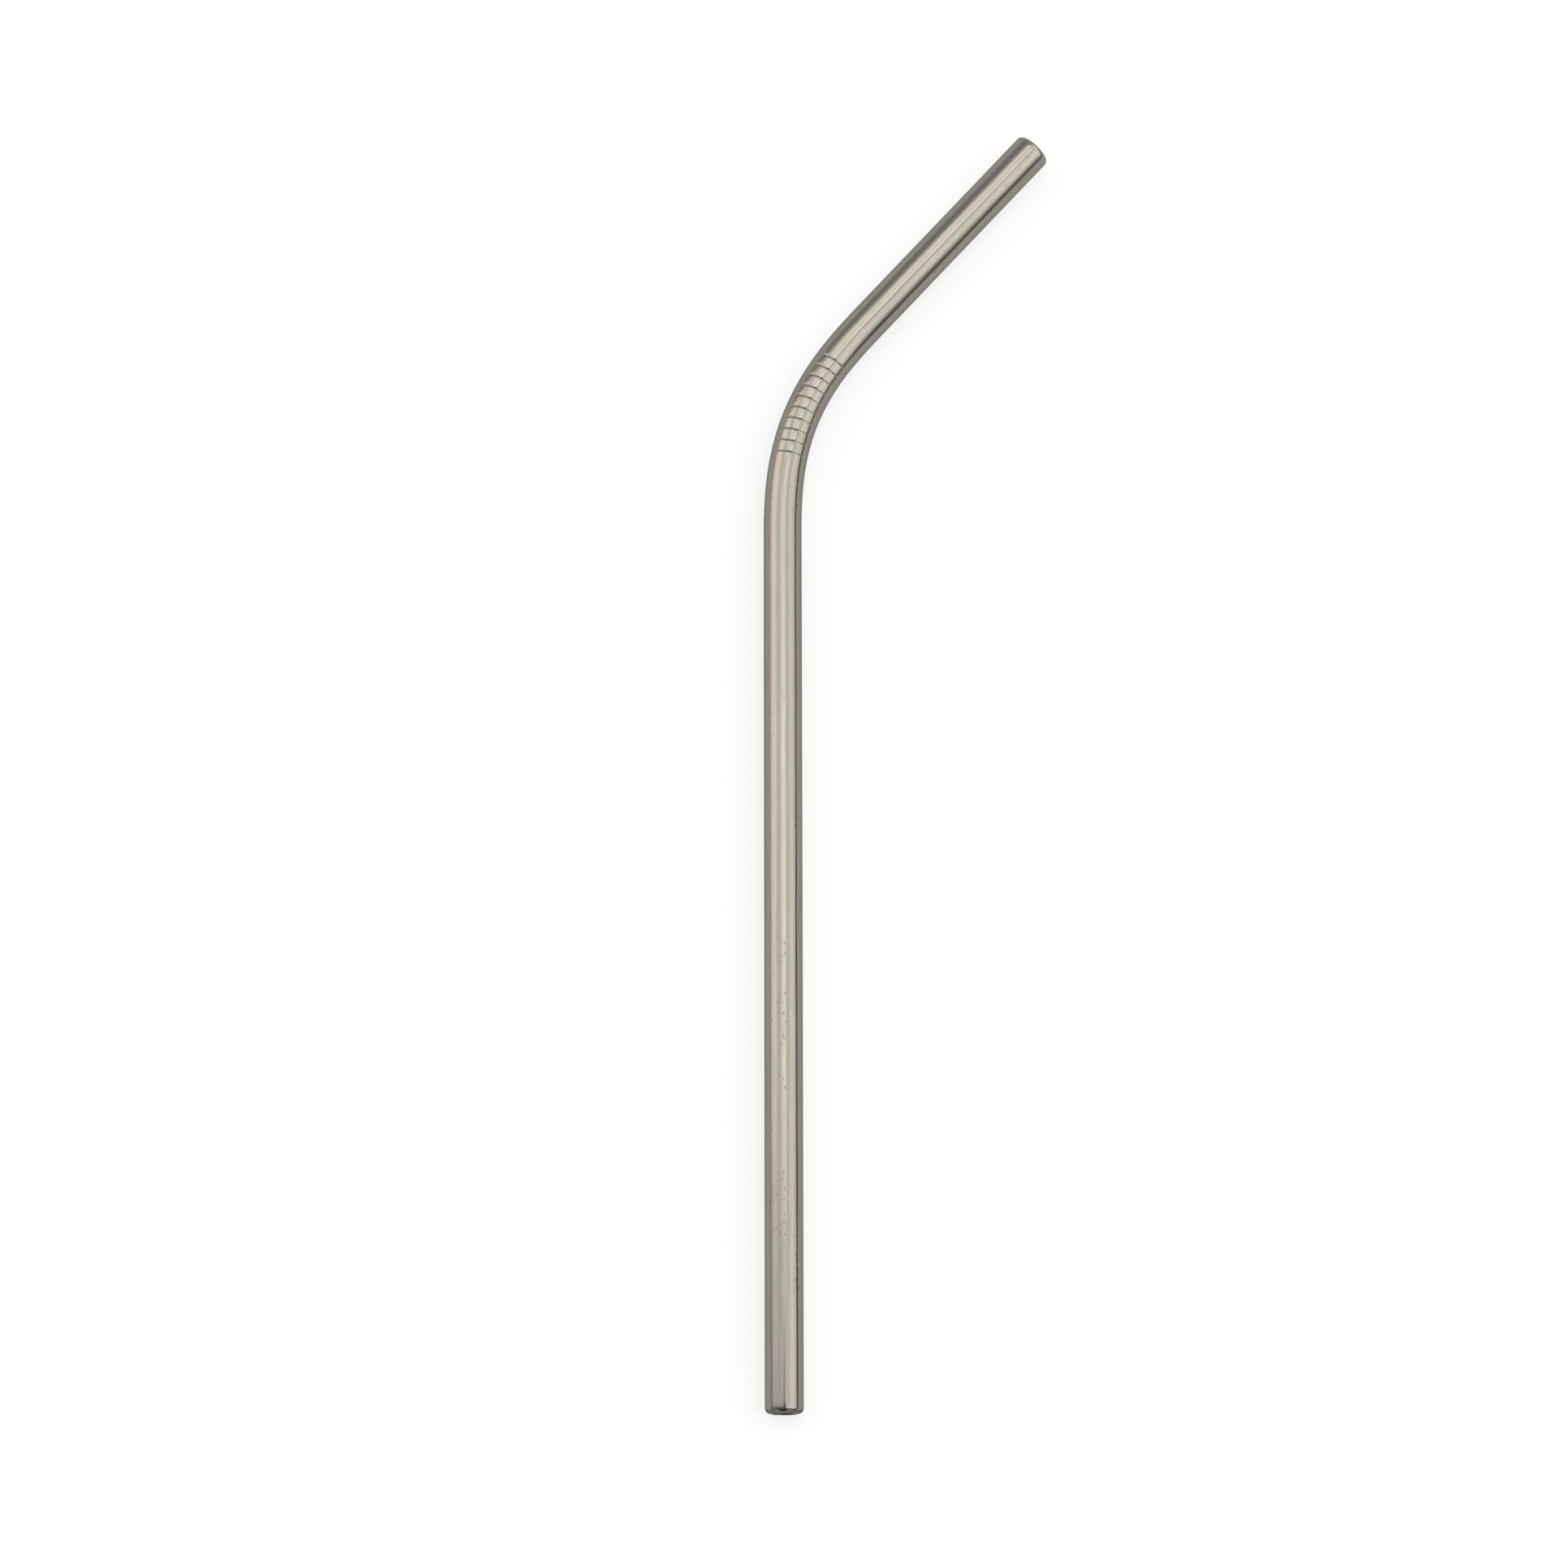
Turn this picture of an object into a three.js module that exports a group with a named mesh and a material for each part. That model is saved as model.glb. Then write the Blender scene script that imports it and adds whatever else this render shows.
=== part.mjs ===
// A bent metal drinking straw: one thin steel tube with rolled grooves on its bend
// and both ends turned in to a smooth rim. It lies on its side, as on a table.
// Millimetres, +Z up. The long leg runs along +Y from the foot, the end that goes
// into the drink, and the short leg leans from there towards +X, up to the mouth.

import * as THREE from 'three';
import { mergeVertices } from 'three/addons/utils/BufferGeometryUtils.js';

// Tube section
const TUBE_DIAMETER = 6;
const WALL = 0.5;

// Centreline, measured along the tube from the foot to the mouth
const LONG_LEG = 136.3;
const BEND_LENGTH = 41;
const SHORT_LEG = 37.7;
const BEND_ANGLE = THREE.MathUtils.degToRad(43);

// How much narrower the tube gets across the middle of its bend
const BEND_SQUEEZE = 0.16;

// Grooves rolled into the wall; their middle lies a little past the bend's, towards the mouth
const GROOVE_COUNT = 10;
const GROOVE_PITCH = 1.85;
const GROOVE_SHIFT = 2;
const GROOVE_WIDTH = 0.3;
const GROOVE_DEPTH = 0.05;
const SHOULDER_DROP = 0.01;

// Turned-in rims: the radius inside the turn, the flat land and the broken edge
const RIM_INNER_RADIUS = 0.35;
const RIM_LAND = 0.2;
const RIM_EDGE = 0.06;

// Facets: sides round the tube, steps in a rim's turn, and the longest step in the bend
const SIDES = 36;
const RIM_STEPS = 5;
const BEND_STEP = 1.6;
const CENTRELINE_STEPS = 240;

// Finish of the bare steel
const STEEL_COLOR = 0xa9a398;
const STEEL_ROUGHNESS = 0.28;

const outerRadius = TUBE_DIAMETER / 2;
const innerRadius = outerRadius - WALL;
const rimOuterRadius = RIM_INNER_RADIUS + WALL;
const openingRadius = outerRadius - rimOuterRadius - RIM_LAND;
const beadWidth = GROOVE_WIDTH + WALL;
const bendEnd = LONG_LEG + BEND_LENGTH;
const totalLength = bendEnd + SHORT_LEG;
const grooveMiddle = LONG_LEG + BEND_LENGTH / 2 + GROOVE_SHIFT;
const groovedHalf = ((GROOVE_COUNT - 1) * GROOVE_PITCH) / 2;

// The tube's direction at a station: it eases into the bend and out of it again
function heading(station) {
  return BEND_ANGLE * THREE.MathUtils.smoothstep(station, LONG_LEG, bendEnd);
}

function ahead(station) {
  const angle = heading(station);
  return new THREE.Vector3(Math.sin(angle), Math.cos(angle), 0);
}

function sideways(station) {
  const angle = heading(station);
  return new THREE.Vector3(Math.cos(angle), -Math.sin(angle), 0);
}

// The centreline's place at a station: straight, then the sum of short steps, then straight
function centre(station) {
  const point = new THREE.Vector3(0, Math.min(station, LONG_LEG), 0);
  const bent = THREE.MathUtils.clamp(station - LONG_LEG, 0, BEND_LENGTH);
  const step = bent / CENTRELINE_STEPS;
  for (let i = 0; i < CENTRELINE_STEPS; i += 1) {
    point.addScaledVector(ahead(LONG_LEG + (i + 0.5) * step), step);
  }
  return point.addScaledVector(ahead(bendEnd), Math.max(station - bendEnd, 0));
}

// The middle of each groove, and the distance from a station to the nearest one
const firstGroove = grooveMiddle - groovedHalf;
const grooveStations = Array.from({ length: GROOVE_COUNT }, (_, i) => firstGroove + i * GROOVE_PITCH);

function grooveDistance(station) {
  return Math.min(...grooveStations.map((groove) => Math.abs(station - groove)));
}

// How far the roller pressed the wall in at a station, with a mark of this width
function pressedIn(station, width) {
  const distance = grooveDistance(station);
  const groove = Math.max(0, 1 - (2 * distance) / width);
  const shoulder = Math.max(0, 1 - (2 * distance) / GROOVE_PITCH);
  return GROOVE_DEPTH * groove + SHOULDER_DROP * shoulder ** 2;
}

// Stations along the wall between the two rims: even steps through the bend, and the
// edges and the middle of each pressed mark and of the panel after it
function wallStations(width) {
  const stations = [rimOuterRadius, LONG_LEG, bendEnd, totalLength - rimOuterRadius];
  const steps = Math.ceil(BEND_LENGTH / BEND_STEP);
  for (let i = 1; i < steps; i += 1) {
    const station = LONG_LEG + (i * BEND_LENGTH) / steps;
    if (Math.abs(station - grooveMiddle) > groovedHalf + GROOVE_PITCH) stations.push(station);
  }
  for (const groove of grooveStations) {
    stations.push(groove - width / 2, groove, groove + width / 2, groove + GROOVE_PITCH / 2);
  }
  stations.push(firstGroove - GROOVE_PITCH / 2);
  return stations.sort((a, b) => a - b);
}

// One end's turned-in rim as points of radius and distance from the end, starting
// on the outside of the tube and ending on the inside
function rimPoints() {
  const points = [];
  for (let i = 0; i <= RIM_STEPS; i += 1) {
    const angle = (i / RIM_STEPS) * (Math.PI / 2);
    const radius = outerRadius - rimOuterRadius * (1 - Math.cos(angle));
    points.push(new THREE.Vector2(radius, rimOuterRadius * (1 - Math.sin(angle))));
  }
  points.push(new THREE.Vector2(openingRadius + RIM_EDGE, 0));
  points.push(new THREE.Vector2(openingRadius, RIM_EDGE));
  points.push(new THREE.Vector2(openingRadius, WALL));
  for (let i = RIM_STEPS; i >= 0; i -= 1) {
    const angle = (i / RIM_STEPS) * (Math.PI / 2);
    const radius = innerRadius - RIM_INNER_RADIUS * (1 - Math.cos(angle));
    points.push(new THREE.Vector2(radius, rimOuterRadius - RIM_INNER_RADIUS * Math.sin(angle)));
  }
  return points;
}

// The wall of the straight tube, cut along its length: a closed outline of radius
// and station, up the outside, round the mouth's rim, down the inside and round the foot's
function tubeOutline() {
  const outside = wallStations(GROOVE_WIDTH).map(
    (station) => new THREE.Vector2(outerRadius - pressedIn(station, GROOVE_WIDTH), station),
  );
  const inside = wallStations(beadWidth).map(
    (station) => new THREE.Vector2(innerRadius - pressedIn(station, beadWidth), station),
  );
  const rim = rimPoints().slice(1, -1);
  const mouthRim = rim.map((point) => new THREE.Vector2(point.x, totalLength - point.y));
  return [...outside, ...mouthRim, ...inside.reverse(), ...rim.reverse(), outside[0]];
}

// The tube is a little narrower, seen from above, through the middle of its bend
function squeeze(station) {
  const share = THREE.MathUtils.clamp((station - LONG_LEG) / BEND_LENGTH, 0, 1);
  return 1 - (BEND_SQUEEZE / TUBE_DIAMETER) * Math.sin(Math.PI * share) ** 2;
}

// Moves each point of the straight tube to its place round the bent centreline
function bend(geometry) {
  const position = geometry.getAttribute('position');
  const point = new THREE.Vector3();
  for (let i = 0; i < position.count; i += 1) {
    point.fromBufferAttribute(position, i);
    const station = point.y;
    const place = centre(station).addScaledVector(sideways(station), point.x * squeeze(station));
    position.setXYZ(i, place.x, place.y, point.z);
  }
  return geometry;
}

// The turned tube's facets are set so that one lies flat underneath
function tubeGeometry() {
  const turned = new THREE.LatheGeometry(tubeOutline(), SIDES, Math.PI / SIDES);
  turned.deleteAttribute('normal');
  turned.deleteAttribute('uv');
  const geometry = bend(mergeVertices(turned));
  geometry.computeVertexNormals();
  return geometry;
}

function makeStraw() {
  const steel = new THREE.MeshStandardMaterial({
    color: STEEL_COLOR,
    roughness: STEEL_ROUGHNESS,
    metalness: 1,
  });
  const tube = new THREE.Mesh(tubeGeometry(), steel);
  tube.name = 'straw_tube';
  return tube;
}

// The origin is under the middle of the straw's box, on the surface that it lies on
function standOnOrigin(mesh) {
  const box = new THREE.Box3().setFromObject(mesh);
  const middle = box.getCenter(new THREE.Vector3());
  mesh.position.set(-middle.x, -middle.y, -box.min.z);
  return mesh;
}

const drinkingStraw = new THREE.Group();
drinkingStraw.name = 'metal_drinking_straw';
drinkingStraw.add(standOnOrigin(makeStraw()));

export default drinkingStraw;
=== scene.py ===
"""The dressed metal drinking straw, with the floor, the light and the camera.

The straw is built in millimetres as a straight tube, bent along its centreline and
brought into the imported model's frame in metres: +Z up, the long leg along +Y.
"""

import math

import bpy
import numpy as np
from mathutils import Matrix, Vector


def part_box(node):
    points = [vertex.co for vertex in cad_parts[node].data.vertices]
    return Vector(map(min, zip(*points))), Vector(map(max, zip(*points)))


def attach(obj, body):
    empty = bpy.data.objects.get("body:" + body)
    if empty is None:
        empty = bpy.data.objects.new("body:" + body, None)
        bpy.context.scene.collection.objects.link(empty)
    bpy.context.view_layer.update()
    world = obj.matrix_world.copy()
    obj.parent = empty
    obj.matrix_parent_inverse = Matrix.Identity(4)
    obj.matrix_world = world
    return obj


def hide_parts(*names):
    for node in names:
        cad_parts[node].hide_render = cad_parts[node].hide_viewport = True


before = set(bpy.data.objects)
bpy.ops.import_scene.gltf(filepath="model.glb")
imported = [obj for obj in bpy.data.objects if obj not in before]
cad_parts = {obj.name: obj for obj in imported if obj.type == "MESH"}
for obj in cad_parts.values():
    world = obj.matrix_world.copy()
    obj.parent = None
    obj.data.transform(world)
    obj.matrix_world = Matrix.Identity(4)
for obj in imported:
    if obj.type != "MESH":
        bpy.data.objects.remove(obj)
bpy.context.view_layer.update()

MM = 0.001

# Tube, in millimetres; its length runs from the foot to the mouth
TUBE_RADIUS = 3.0
WALL = 0.5
LONG_LEG = 136.3
BEND_LENGTH = 41.0
SHORT_LEG = 37.7
BEND_ANGLE = math.radians(43)
BEND_SQUEEZE = 0.16
TOTAL_LENGTH = LONG_LEG + BEND_LENGTH + SHORT_LEG
BEND_END = LONG_LEG + BEND_LENGTH

# Rolled grooves
GROOVE_COUNT = 10
GROOVE_PITCH = 1.85
GROOVE_SHIFT = 2.0
GROOVE_WIDTH = 0.3
GROOVE_DEPTH = 0.05
SHOULDER_DROP = 0.01
BEAD_WIDTH = GROOVE_WIDTH + WALL
GROOVE_MIDDLE = LONG_LEG + BEND_LENGTH / 2 + GROOVE_SHIFT
GROOVES = GROOVE_MIDDLE + GROOVE_PITCH * (np.arange(GROOVE_COUNT) - (GROOVE_COUNT - 1) / 2)

# Turned-in rims
RIM_RADIUS = 0.85
RIM_TAPER = 0.05
RIM_TAPER_LENGTH = 1.6
RIM_LAND = 0.2
RIM_EDGE = 0.06
OPENING_RADIUS = TUBE_RADIUS - RIM_RADIUS - RIM_LAND

# Mesh: points round the tube, and steps along it
SIDES = 144
CENTRE_STEP = 0.05
LEG_STEP = 6.0
BEND_STEP = 0.6
GROOVE_STEPS = 7
PANEL_STEPS = 4
RIM_STEPS = 10
RIM_EDGE_STEPS = 3
PAST_RIM = (0, 0.1, 0.2, 0.35, 0.5, 0.75, 1.2, 2.0)

# Camera: where it stands from the middle of the foot, in millimetres, and how it looks
CAMERA_OFFSET = (0.14, -63.7, 875.2)
CAMERA_TILT = math.radians(10.497)
CAMERA_ROLL = math.radians(-0.112)
CAMERA_LENS = 130.64
CAMERA_SENSOR = 36.0
CAMERA_NEAR = 0.01
CAMERA_FAR = 100

# Steel: its two colours, and its tint near the tube's outline
STEEL_PINK = (0.281, 0.250, 0.224)
STEEL_GREEN = (0.255, 0.252, 0.211)
STEEL_EDGE = (0.53, 0.54, 0.54)

# Marks on the steel: how many to the millimetre across, along and up the straight tube
STREAKS = (1.5, 0.07, 1.5)
PATCHES = (0.8, 0.16, 0.8)
FINE_STREAKS = (5.0, 0.14, 5.0)
DULL_PATCHES = (0.4, 0.05, 0.4)
GRAIN = (4.0, 0.06, 4.0)
PITS = (1.9, 0.8, 1.9)
PIT_CLUSTERS = (0.45, 0.06, 0.45)
# the uneven edge of the painted shade at the foot's rim
PAINTED_SHADE_EDGE = (1.2, 0.5, 1.2)

# Waves in the steel: how many to the millimetre, their detail and their height
WAVES = (
    ((0.45, 0.04, 0.45), 1.0, 0.03),
    ((0.9, 0.14, 0.9), 1.0, 0.006),
    ((3.0, 0.07, 3.0), 2.0, 0.003),
)

# How rough the steel is where it is polished and where it is duller, and what the grain
# and the pits add
POLISHED = 0.06
DULLER = 0.11
GRAIN_ROUGHNESS = 0.04
PIT_ROUGHNESS = 0.2

# Pits: their depth, and how much of the colour is left in them
PIT_DEPTH = 0.005
PIT_SHADE = 0.82

# Painted shade on the foot's rim, a darker band for the reflection and shade that fall there: how
# far up it is full and where it ends, how uneven its edge is, and how much of the colour is left in
# it
PAINTED_SHADE_FULL = 0.15
PAINTED_SHADE_END = 0.75
PAINTED_SHADE_UNEVEN = 0.3
PAINTED_SHADE_LEVEL = 0.5

# Floor: its radius in metres, its sides, its colour, and how far it reads as plain white
FLOOR_RADIUS = 12.0
FLOOR_SIDES = 64
FLOOR_COLOUR = (0.97, 0.97, 0.965)
FLOOR_GLOW = 0.75

# Studio light, by direction: angles in degrees from straight up, across the long leg
# (towards +X) and along it (towards +Y). Each softbox has its name, its strength and
# its colour; a flag has its name and its darkness. Both then have two ranges, across
# and along, as low, softness of low, high, softness of high.
DOME = 0.54
SOFTBOXES = (
    ("tent_left", 1.09, (1.04, 1.00, 0.97), (-72, 14, 16, 5), (2.8, 6.5, 37, 8)),
    ("tent_right", 1.09, (1.00, 1.00, 0.97), (16, 5, 76, 5), (-24, 5, 37, 8)),
    ("strip", 1.18, (1.00, 1.00, 0.94), (-10.5, 13, 15, 8), (5.8, 2.4, 14, 5)),
    ("strip_back", 0.75, (1.00, 1.00, 0.94), (-20, 6, 3, 6), (17, 4, 31, 6)),
    ("left_low", 0.14, (1.50, 1.00, 0.50), (-92, 3, -72, 8), (6, 3, 36, 6)),
    ("left_box", 0.63, (1.08, 1.00, 0.90), (-84, 6, -40, 10), (6, 2.5, 34, 4)),
    ("right_box", 0.46, (0.98, 1.00, 0.92), (36, 8, 64, 9), (-22, 5, 36, 4)),
    ("side_box", 0.48, (1.02, 1.00, 0.98), (16, 6, 42, 8), (-16, 4, 2, 5)),
    ("front_left_box", 0.90, (1.02, 1.00, 0.97), (-84, 6, -52, 7), (-88, 3, -46, 6)),
    ("front_right_box", 1.25, (1.00, 1.00, 0.97), (34, 8, 86, 6), (-88, 3, -46, 6)),
    ("back_wall", 0.70, (1.00, 1.00, 0.98), (-2, 8, 36, 10), (60, 6, 84, 4)),
    ("back_left_box", 0.24, (1.00, 1.00, 0.97), (-95, 4, -69, 6), (44, 6, 70, 6)),
    ("back_box", 1.35, (1.00, 1.00, 0.99), (25, 6, 84, 6), (36, 8, 58, 6)),
)
FLAGS = (
    ("front_flag", 0.40, (-58, 8, 12, 5), (-50, 6, -12, 4)),
    ("front_flag_low", 0.80, (-46, 7, 20, 7), (-92, 2, -41, 6)),
    ("front_flag_right", 0.30, (12, 5, 95, 5), (-78, 5, -31, 4)),
    ("right_flag", 0.90, (83, 4, 95, 3), (-8, 6, 13, 9)),
    ("right_flag_front", 0.60, (69, 5, 79, 3), (-45, 5, -8, 4)),
    ("stand", 0.95, (-4, 2, 5, 2), (-5, 2, 4.55, 0.8)),
)


def centreline():
    """Fine stations along the tube, with the heading and the place of its centre at each."""
    station = np.linspace(0, TOTAL_LENGTH, int(TOTAL_LENGTH / CENTRE_STEP) + 1)
    share = np.clip((station - LONG_LEG) / BEND_LENGTH, 0, 1)
    heading = BEND_ANGLE * share**2 * (3 - 2 * share)
    middle = (heading[1:] + heading[:-1]) / 2
    step = np.diff(station)
    x = np.concatenate([[0], np.cumsum(np.sin(middle) * step)])
    y = np.concatenate([[0], np.cumsum(np.cos(middle) * step)])
    return station, heading, x, y


def pressed_in(station, width):
    """How far the roller pressed the wall in at a station, with a mark of this width."""
    distance = np.abs(station - GROOVES).min()
    mark = max(0.0, 1 - (2 * distance / width) ** 2) ** 2
    shoulder = max(0.0, 1 - 2 * distance / GROOVE_PITCH) ** 2
    return GROOVE_DEPTH * mark + SHOULDER_DROP * shoulder


def drawn_in(along):
    """How far the tube is drawn in near an end, before its rim turns."""
    return RIM_TAPER * max(0.0, 1 - along / RIM_TAPER_LENGTH) ** 2


def outside_radius(station):
    end = min(station, TOTAL_LENGTH - station)
    return TUBE_RADIUS - pressed_in(station, GROOVE_WIDTH) - drawn_in(end)


def wall_stations(width):
    """Stations along the wall between the two rims, close together where it curves."""
    first = GROOVES[0] - GROOVE_PITCH / 2
    last = GROOVES[-1] + GROOVE_PITCH / 2
    lead = RIM_RADIUS + np.array(PAST_RIM)
    stations = [lead, TOTAL_LENGTH - lead]
    stations.append(np.arange(lead[-1] + 1, LONG_LEG, LEG_STEP))
    stations.append(np.arange(LONG_LEG, first - BEND_STEP / 2, BEND_STEP))
    stations.append(np.arange(last + BEND_STEP, BEND_END, BEND_STEP))
    stations.append(np.arange(BEND_END, TOTAL_LENGTH - lead[-1] - 1, LEG_STEP))
    half = np.linspace(0, 1, GROOVE_STEPS) * width / 2
    panel = np.linspace(width / 2, GROOVE_PITCH / 2, PANEL_STEPS + 1)[1:]
    for groove in GROOVES:
        reach = np.concatenate([half, panel])
        stations.append(np.concatenate([groove - reach, groove + reach]))
    return np.unique(np.round(np.concatenate(stations), 4))


def quarter(radius, steps):
    """A quarter circle's distances from its start, inwards and along."""
    angle = np.linspace(0, math.pi / 2, steps + 1)
    return radius * (1 - np.cos(angle)), radius * (1 - np.sin(angle))


def rim_points():
    """One end's turned-in rim as (radius, distance from the end), from outside to inside."""
    inwards, along = quarter(RIM_RADIUS, RIM_STEPS)
    drawn = [drawn_in(distance) for distance in along]
    outside = list(zip(TUBE_RADIUS - inwards - drawn, along))[1:]
    edge_in, edge_along = quarter(RIM_EDGE, RIM_EDGE_STEPS)
    edge = list(zip(OPENING_RADIUS + edge_along, edge_in))
    turn_in, turn_along = quarter(RIM_RADIUS - WALL, RIM_STEPS)
    inside = list(zip(TUBE_RADIUS - WALL - turn_in, turn_along + WALL))[1:]
    return outside + edge + [(OPENING_RADIUS, WALL)] + inside[::-1]


def tube_outline():
    """The straight tube's wall cut along its length: a closed outline of (radius, station)."""
    outside = [(outside_radius(s), s) for s in wall_stations(GROOVE_WIDTH)]
    bore = TUBE_RADIUS - WALL
    inside = [(bore - pressed_in(s, BEAD_WIDTH), s) for s in wall_stations(BEAD_WIDTH)]
    rim = rim_points()
    mouth = [(radius, TOTAL_LENGTH - along) for radius, along in rim]
    return np.array(outside + mouth + inside[::-1] + rim[::-1])


def squeeze(station):
    """The tube's share of its width across the bend's middle."""
    share = np.clip((station - LONG_LEG) / BEND_LENGTH, 0, 1)
    return 1 - BEND_SQUEEZE / (2 * TUBE_RADIUS) * np.sin(math.pi * share) ** 2


def foot_centre():
    """The middle of the foot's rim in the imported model, on the surface that the straw lies on."""
    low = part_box("straw_tube")[0]
    return Vector((low.x + TUBE_RADIUS * MM, low.y, 0))


def ring_points(outline):
    """Every point of the tube, straight and bent, in millimetres, one ring after another."""
    radius, station = outline[:, :1], outline[:, 1:]
    turn = np.linspace(0, 2 * math.pi, SIDES, endpoint=False)
    across = radius * np.sin(turn)
    up = radius * np.cos(turn)
    along = np.broadcast_to(station, across.shape)
    straight = np.stack([across, along, up], axis=-1)
    line_station, line_heading, line_x, line_y = centreline()
    heading = np.interp(station, line_station, line_heading)
    across = across * squeeze(station)
    x = np.interp(station, line_station, line_x) + across * np.cos(heading)
    y = np.interp(station, line_station, line_y) - across * np.sin(heading)
    bent = np.stack([x, y, up + TUBE_RADIUS], axis=-1)
    return straight.reshape(-1, 3), bent.reshape(-1, 3)


def ring_faces(rings):
    """Quads between each ring and the next, and from the last back to the first."""
    ring = np.arange(rings)[:, None] * SIDES
    after = (np.arange(rings)[:, None] + 1) % rings * SIDES
    side = np.arange(SIDES)[None, :]
    beside = (side + 1) % SIDES
    quads = np.stack([ring + side, after + side, after + beside, ring + beside], axis=-1)
    return quads.reshape(-1, 4)


def make_tube():
    """The steel tube, with the place of each point on the straight tube kept for its grain."""
    outline = tube_outline()
    straight, bent = ring_points(outline)
    points = bent * MM + np.array(foot_centre())
    mesh = bpy.data.meshes.new("drawn_tube")
    mesh.from_pydata(points.tolist(), [], ring_faces(len(outline)).tolist())
    mesh.shade_smooth()
    place = mesh.attributes.new("straight", "FLOAT_VECTOR", "POINT")
    place.data.foreach_set("vector", straight.astype(np.float32).ravel())
    tube = bpy.data.objects.new("drawn_tube", mesh)
    bpy.context.scene.collection.objects.link(tube)
    return tube


class Nodes:
    """Short calls that add nodes to one node tree and join them."""

    def __init__(self, tree):
        self.tree = tree
        tree.nodes.clear()

    def add(self, kind, **settings):
        node = self.tree.nodes.new(kind)
        for name, value in settings.items():
            setattr(node, name, value)
        return node

    def feed(self, socket, value):
        """A link where the value is a socket, and a fixed number or colour otherwise."""
        if isinstance(value, bpy.types.NodeSocket):
            self.tree.links.new(value, socket)
        elif hasattr(socket.default_value, "__len__") and len(value) < len(socket.default_value):
            socket.default_value = (*value, 1)
        else:
            socket.default_value = value

    def math(self, operation, *values):
        node = self.add("ShaderNodeMath", operation=operation)
        for socket, value in zip(node.inputs, values):
            self.feed(socket, value)
        return node.outputs[0]

    def vector(self, operation, a, b):
        node = self.add("ShaderNodeVectorMath", operation=operation)
        self.feed(node.inputs[0], a)
        self.feed(node.inputs[1], b)
        return node.outputs[0]

    def step(self, value, low, high, to_low=0.0, to_high=1.0):
        """A smooth step of value between low and high."""
        node = self.add("ShaderNodeMapRange", interpolation_type="SMOOTHSTEP")
        for socket, number in zip(node.inputs, (value, low, high, to_low, to_high)):
            self.feed(socket, number)
        return node.outputs[0]

    def window(self, value, low, low_soft, high, high_soft):
        """One between low and high, and nothing outside them."""
        rise = self.step(value, low - low_soft, low + low_soft)
        fall = self.step(value, high - high_soft, high + high_soft, 1.0, 0.0)
        return self.math("MULTIPLY", rise, fall)

    def noise(self, place, scale, detail=2.0, roughness=0.5):
        """Noise with its own scale across, along and up the straight tube, per millimetre."""
        node = self.add("ShaderNodeTexNoise")
        self.feed(node.inputs["Vector"], self.vector("MULTIPLY", place, scale))
        self.feed(node.inputs["Scale"], 1.0)
        self.feed(node.inputs["Detail"], detail)
        self.feed(node.inputs["Roughness"], roughness)
        return node.outputs["Fac"]

    def mix(self, share, a, b):
        node = self.add("ShaderNodeMix", data_type="RGBA")
        self.feed(node.inputs["Factor"], share)
        self.feed(node.inputs["A"], a)
        self.feed(node.inputs["B"], b)
        return node.outputs["Result"]


def steel_colour(nodes, place):
    """Pinkish and greenish patches and streaks along the drawn tube."""
    streak = nodes.noise(place, STREAKS, 3.0, 0.6)
    patch = nodes.noise(place, PATCHES, 3.0)
    blend = nodes.math("MULTIPLY", nodes.math("ADD", streak, patch), 0.5)
    colour = nodes.mix(nodes.step(blend, 0.41, 0.59), STEEL_PINK, STEEL_GREEN)
    fine = nodes.noise(place, FINE_STREAKS, 3.0, 0.6)
    return nodes.vector("MULTIPLY", colour, nodes.step(fine, 0.25, 0.75, 0.94, 1.06))


def steel_pits(nodes, place):
    """Small pits and nicks, longer than wide, in loose clusters: one inside them."""
    cell = nodes.add("ShaderNodeTexVoronoi")
    nodes.feed(cell.inputs["Vector"], nodes.vector("MULTIPLY", place, PITS))
    nodes.feed(cell.inputs["Scale"], 1.0)
    spot = nodes.step(cell.outputs["Distance"], 0.06, 0.32, 1.0, 0.0)
    cluster = nodes.step(nodes.noise(place, PIT_CLUSTERS, 1.0), 0.51, 0.62)
    return nodes.math("MULTIPLY", spot, cluster)


def rim_painted_shade(nodes, place):
    """Painted shade round the foot's rim, standing in for the dark reflection and shade there,
    uneven along its upper edge: less than one inside it.
    """
    split = nodes.add("ShaderNodeSeparateXYZ")
    nodes.feed(split.inputs[0], place)
    uneven = nodes.math("MULTIPLY", nodes.noise(place, PAINTED_SHADE_EDGE, 2.0), PAINTED_SHADE_UNEVEN)
    height = nodes.math("SUBTRACT", split.outputs["Y"], uneven)
    return nodes.step(height, PAINTED_SHADE_FULL, PAINTED_SHADE_END, PAINTED_SHADE_LEVEL, 1.0)


def steel_roughness(nodes, place, pits):
    """Polished, a little duller in patches and along the fine grain, and dull in the pits."""
    patch = nodes.noise(place, DULL_PATCHES, 3.0, 0.6)
    polish = nodes.step(patch, 0.3, 0.7, POLISHED, DULLER)
    grain = nodes.math("MULTIPLY", nodes.noise(place, GRAIN, 2.0), GRAIN_ROUGHNESS)
    in_pits = nodes.math("MULTIPLY", pits, PIT_ROUGHNESS)
    return nodes.math("ADD", nodes.math("ADD", polish, grain), in_pits)


def steel_height(nodes, place, pits):
    """The surface's waves and pits, as a height in millimetres."""
    height = nodes.math("MULTIPLY", pits, -PIT_DEPTH)
    for scale, detail, size in WAVES:
        wave = nodes.math("MULTIPLY", nodes.noise(place, scale, detail), size)
        height = nodes.math("ADD", height, wave)
    return height


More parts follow.
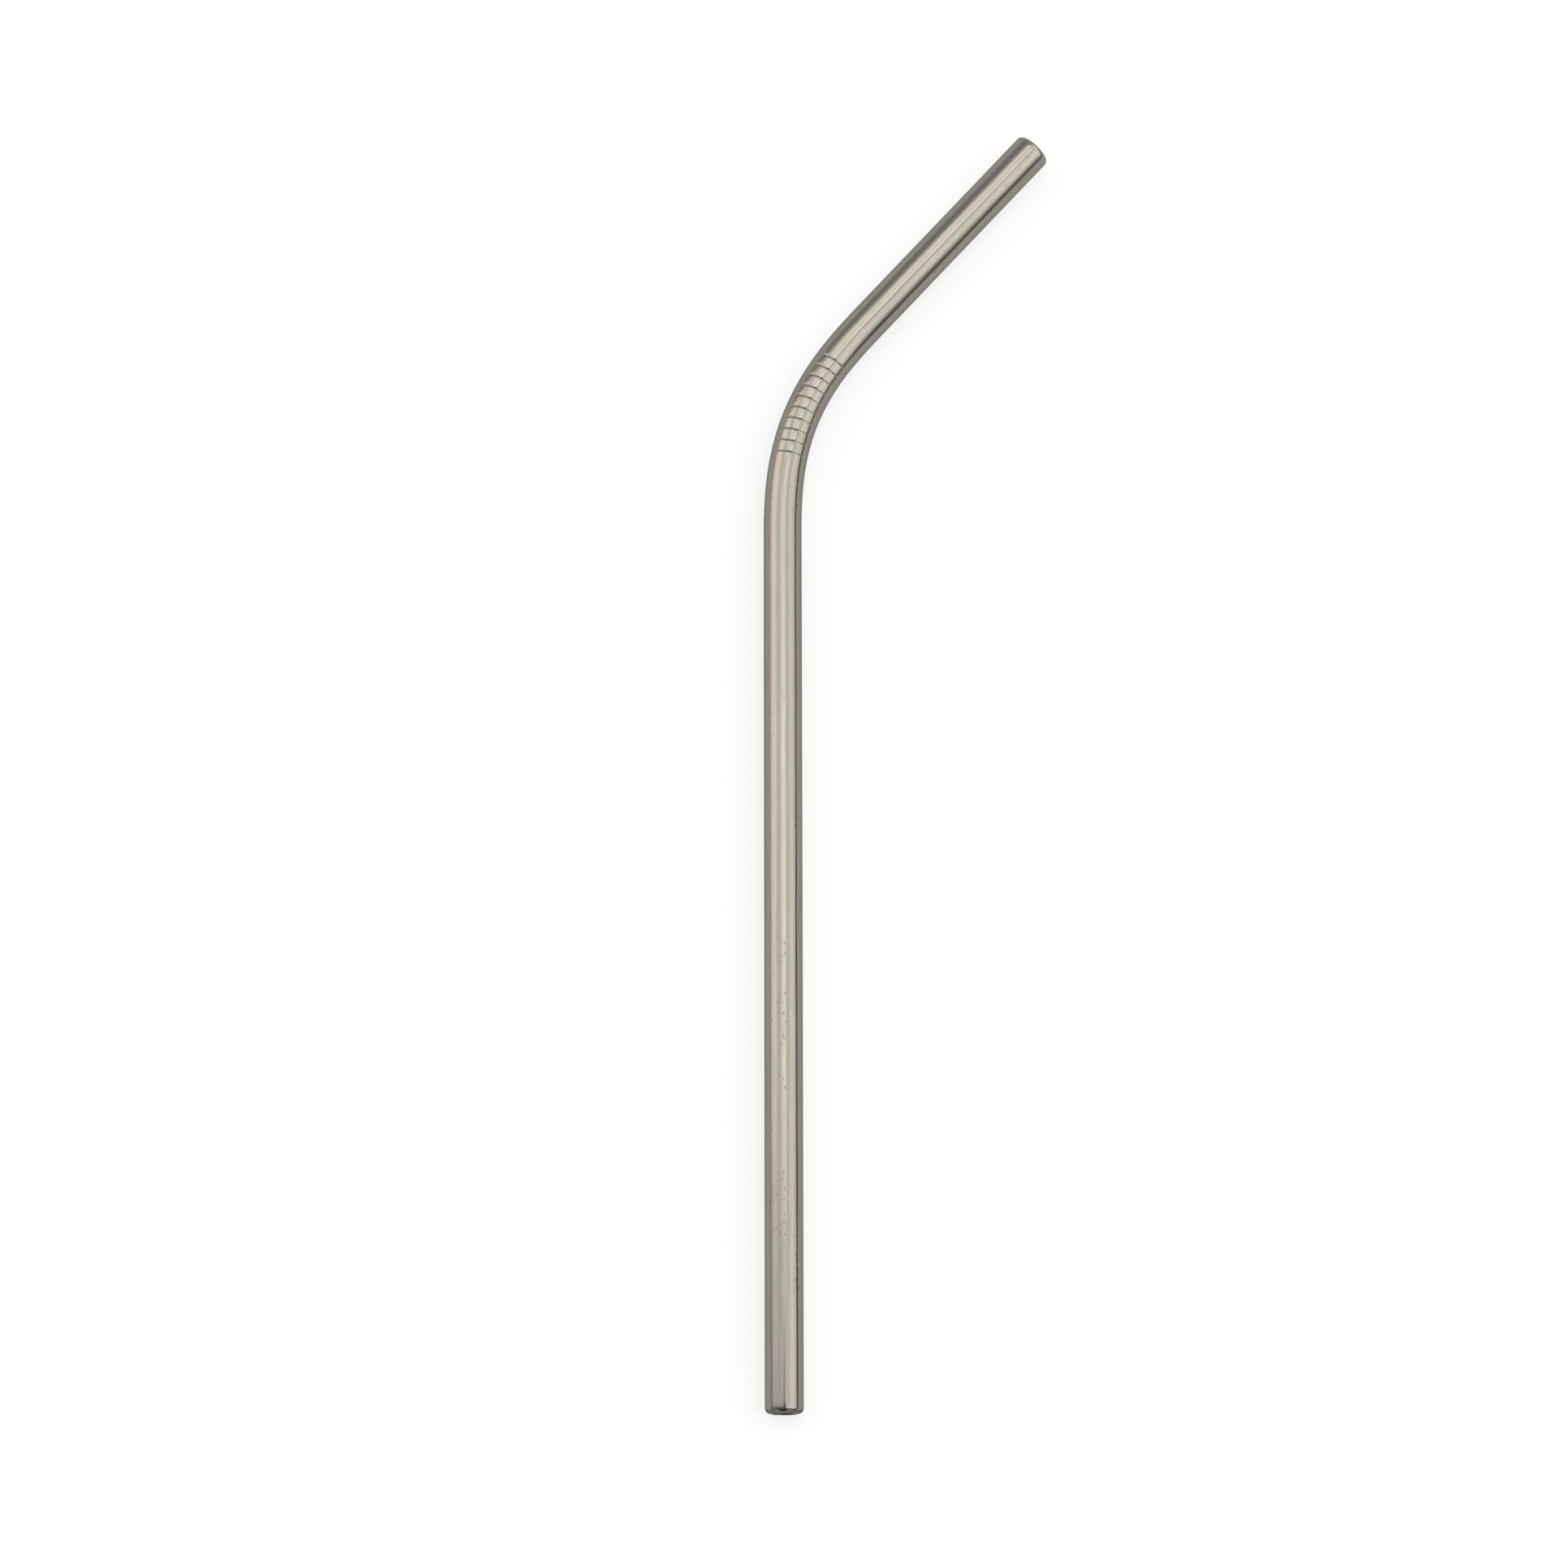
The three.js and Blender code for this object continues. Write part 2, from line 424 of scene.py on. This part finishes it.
def steel_material():
    material = bpy.data.materials.new("drawn_steel")
    material.use_nodes = True
    nodes = Nodes(material.node_tree)
    place = nodes.add("ShaderNodeAttribute", attribute_name="straight").outputs["Vector"]
    shader = nodes.add("ShaderNodeBsdfPrincipled")
    nodes.feed(shader.inputs["Metallic"], 1.0)
    nodes.feed(shader.inputs["Specular Tint"], STEEL_EDGE)
    pits = steel_pits(nodes, place)
    in_pits = nodes.step(pits, 0.0, 1.0, 1.0, PIT_SHADE)
    # the pits' darker colour, times the painted shade round the foot's rim
    shade = nodes.math("MULTIPLY", in_pits, rim_painted_shade(nodes, place))
    colour = nodes.vector("MULTIPLY", steel_colour(nodes, place), shade)
    nodes.feed(shader.inputs["Base Color"], colour)
    nodes.feed(shader.inputs["Roughness"], steel_roughness(nodes, place, pits))
    bump = nodes.add("ShaderNodeBump")
    nodes.feed(bump.inputs["Distance"], MM)
    nodes.feed(bump.inputs["Height"], steel_height(nodes, place, pits))
    nodes.feed(shader.inputs["Normal"], bump.outputs["Normal"])
    output = nodes.add("ShaderNodeOutputMaterial")
    nodes.feed(output.inputs["Surface"], shader.outputs["BSDF"])
    return material


def floor_material():
    material = bpy.data.materials.new("pale_floor")
    material.use_nodes = True
    nodes = Nodes(material.node_tree)
    paint = nodes.add("ShaderNodeBsdfDiffuse")
    nodes.feed(paint.inputs["Color"], FLOOR_COLOUR)
    white = nodes.add("ShaderNodeEmission")
    ray = nodes.add("ShaderNodeLightPath").outputs
    seen = nodes.math("MAXIMUM", ray["Is Camera Ray"], ray["Is Glossy Ray"])
    seen = nodes.math("MAXIMUM", seen, ray["Is Transmission Ray"])
    mix = nodes.add("ShaderNodeMixShader")
    nodes.feed(mix.inputs[0], nodes.math("MULTIPLY", seen, FLOOR_GLOW))
    nodes.feed(mix.inputs[1], paint.outputs["BSDF"])
    nodes.feed(mix.inputs[2], white.outputs["Emission"])
    output = nodes.add("ShaderNodeOutputMaterial")
    nodes.feed(output.inputs["Surface"], mix.outputs["Shader"])
    return material


def make_floor():
    mesh = bpy.data.meshes.new("floor")
    turn = np.linspace(0, 2 * math.pi, FLOOR_SIDES, endpoint=False)
    rim = [(FLOOR_RADIUS * math.cos(a), FLOOR_RADIUS * math.sin(a), 0) for a in turn]
    mesh.from_pydata(rim, [], [range(len(rim))])
    mesh.materials.append(floor_material())
    floor = bpy.data.objects.new("floor", mesh)
    bpy.context.scene.collection.objects.link(floor)


def lit_share(nodes, across, along, range_across, range_along):
    """One in the directions that a softbox or a flag fills, and nothing outside them."""
    by_across = nodes.window(across, *range_across)
    return nodes.math("MULTIPLY", by_across, nodes.window(along, *range_along))


def make_light():
    """The studio: a dome, softboxes added to it and dark flags taken from it, by direction."""
    world = bpy.data.worlds.new("studio")
    world.use_nodes = True
    nodes = Nodes(world.node_tree)
    direction = nodes.add("ShaderNodeTexCoord").outputs["Generated"]
    split = nodes.add("ShaderNodeSeparateXYZ")
    nodes.feed(split.inputs[0], direction)
    dx, dy, dz = split.outputs
    across = nodes.math("DEGREES", nodes.math("ARCTAN2", dx, dz))
    along = nodes.math("DEGREES", nodes.math("ARCSINE", dy))
    light = (DOME, DOME, DOME)
    for _, strength, colour, *ranges in SOFTBOXES:
        share = lit_share(nodes, across, along, *ranges)
        tint = tuple(strength * part for part in colour)
        light = nodes.vector("ADD", light, nodes.vector("MULTIPLY", tint, share))
    for _, darkness, *ranges in FLAGS:
        share = lit_share(nodes, across, along, *ranges)
        light = nodes.vector("MULTIPLY", light, nodes.step(share, 0, 1, 1, 1 - darkness))
    background = nodes.add("ShaderNodeBackground")
    nodes.feed(background.inputs["Color"], light)
    output = nodes.add("ShaderNodeOutputWorld")
    nodes.feed(output.inputs["Surface"], background.outputs["Background"])
    bpy.context.scene.world = world


def make_camera():
    data = bpy.data.cameras.new("camera")
    data.lens = CAMERA_LENS
    data.sensor_width = CAMERA_SENSOR
    data.clip_start = CAMERA_NEAR
    data.clip_end = CAMERA_FAR
    camera = bpy.data.objects.new("camera", data)
    place = foot_centre() + Vector(CAMERA_OFFSET) * MM
    turn = Matrix.Rotation(CAMERA_TILT, 4, "X") @ Matrix.Rotation(CAMERA_ROLL, 4, "Z")
    camera.matrix_world = Matrix.Translation(place) @ turn
    bpy.context.scene.collection.objects.link(camera)
    bpy.context.scene.camera = camera


def dress_straw():
    tube = make_tube()
    tube.data.materials.append(steel_material())
    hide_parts("straw_tube")
    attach(tube, "root")


make_camera()
dress_straw()
make_floor()
make_light()
bpy.context.scene.view_settings.view_transform = "Standard"
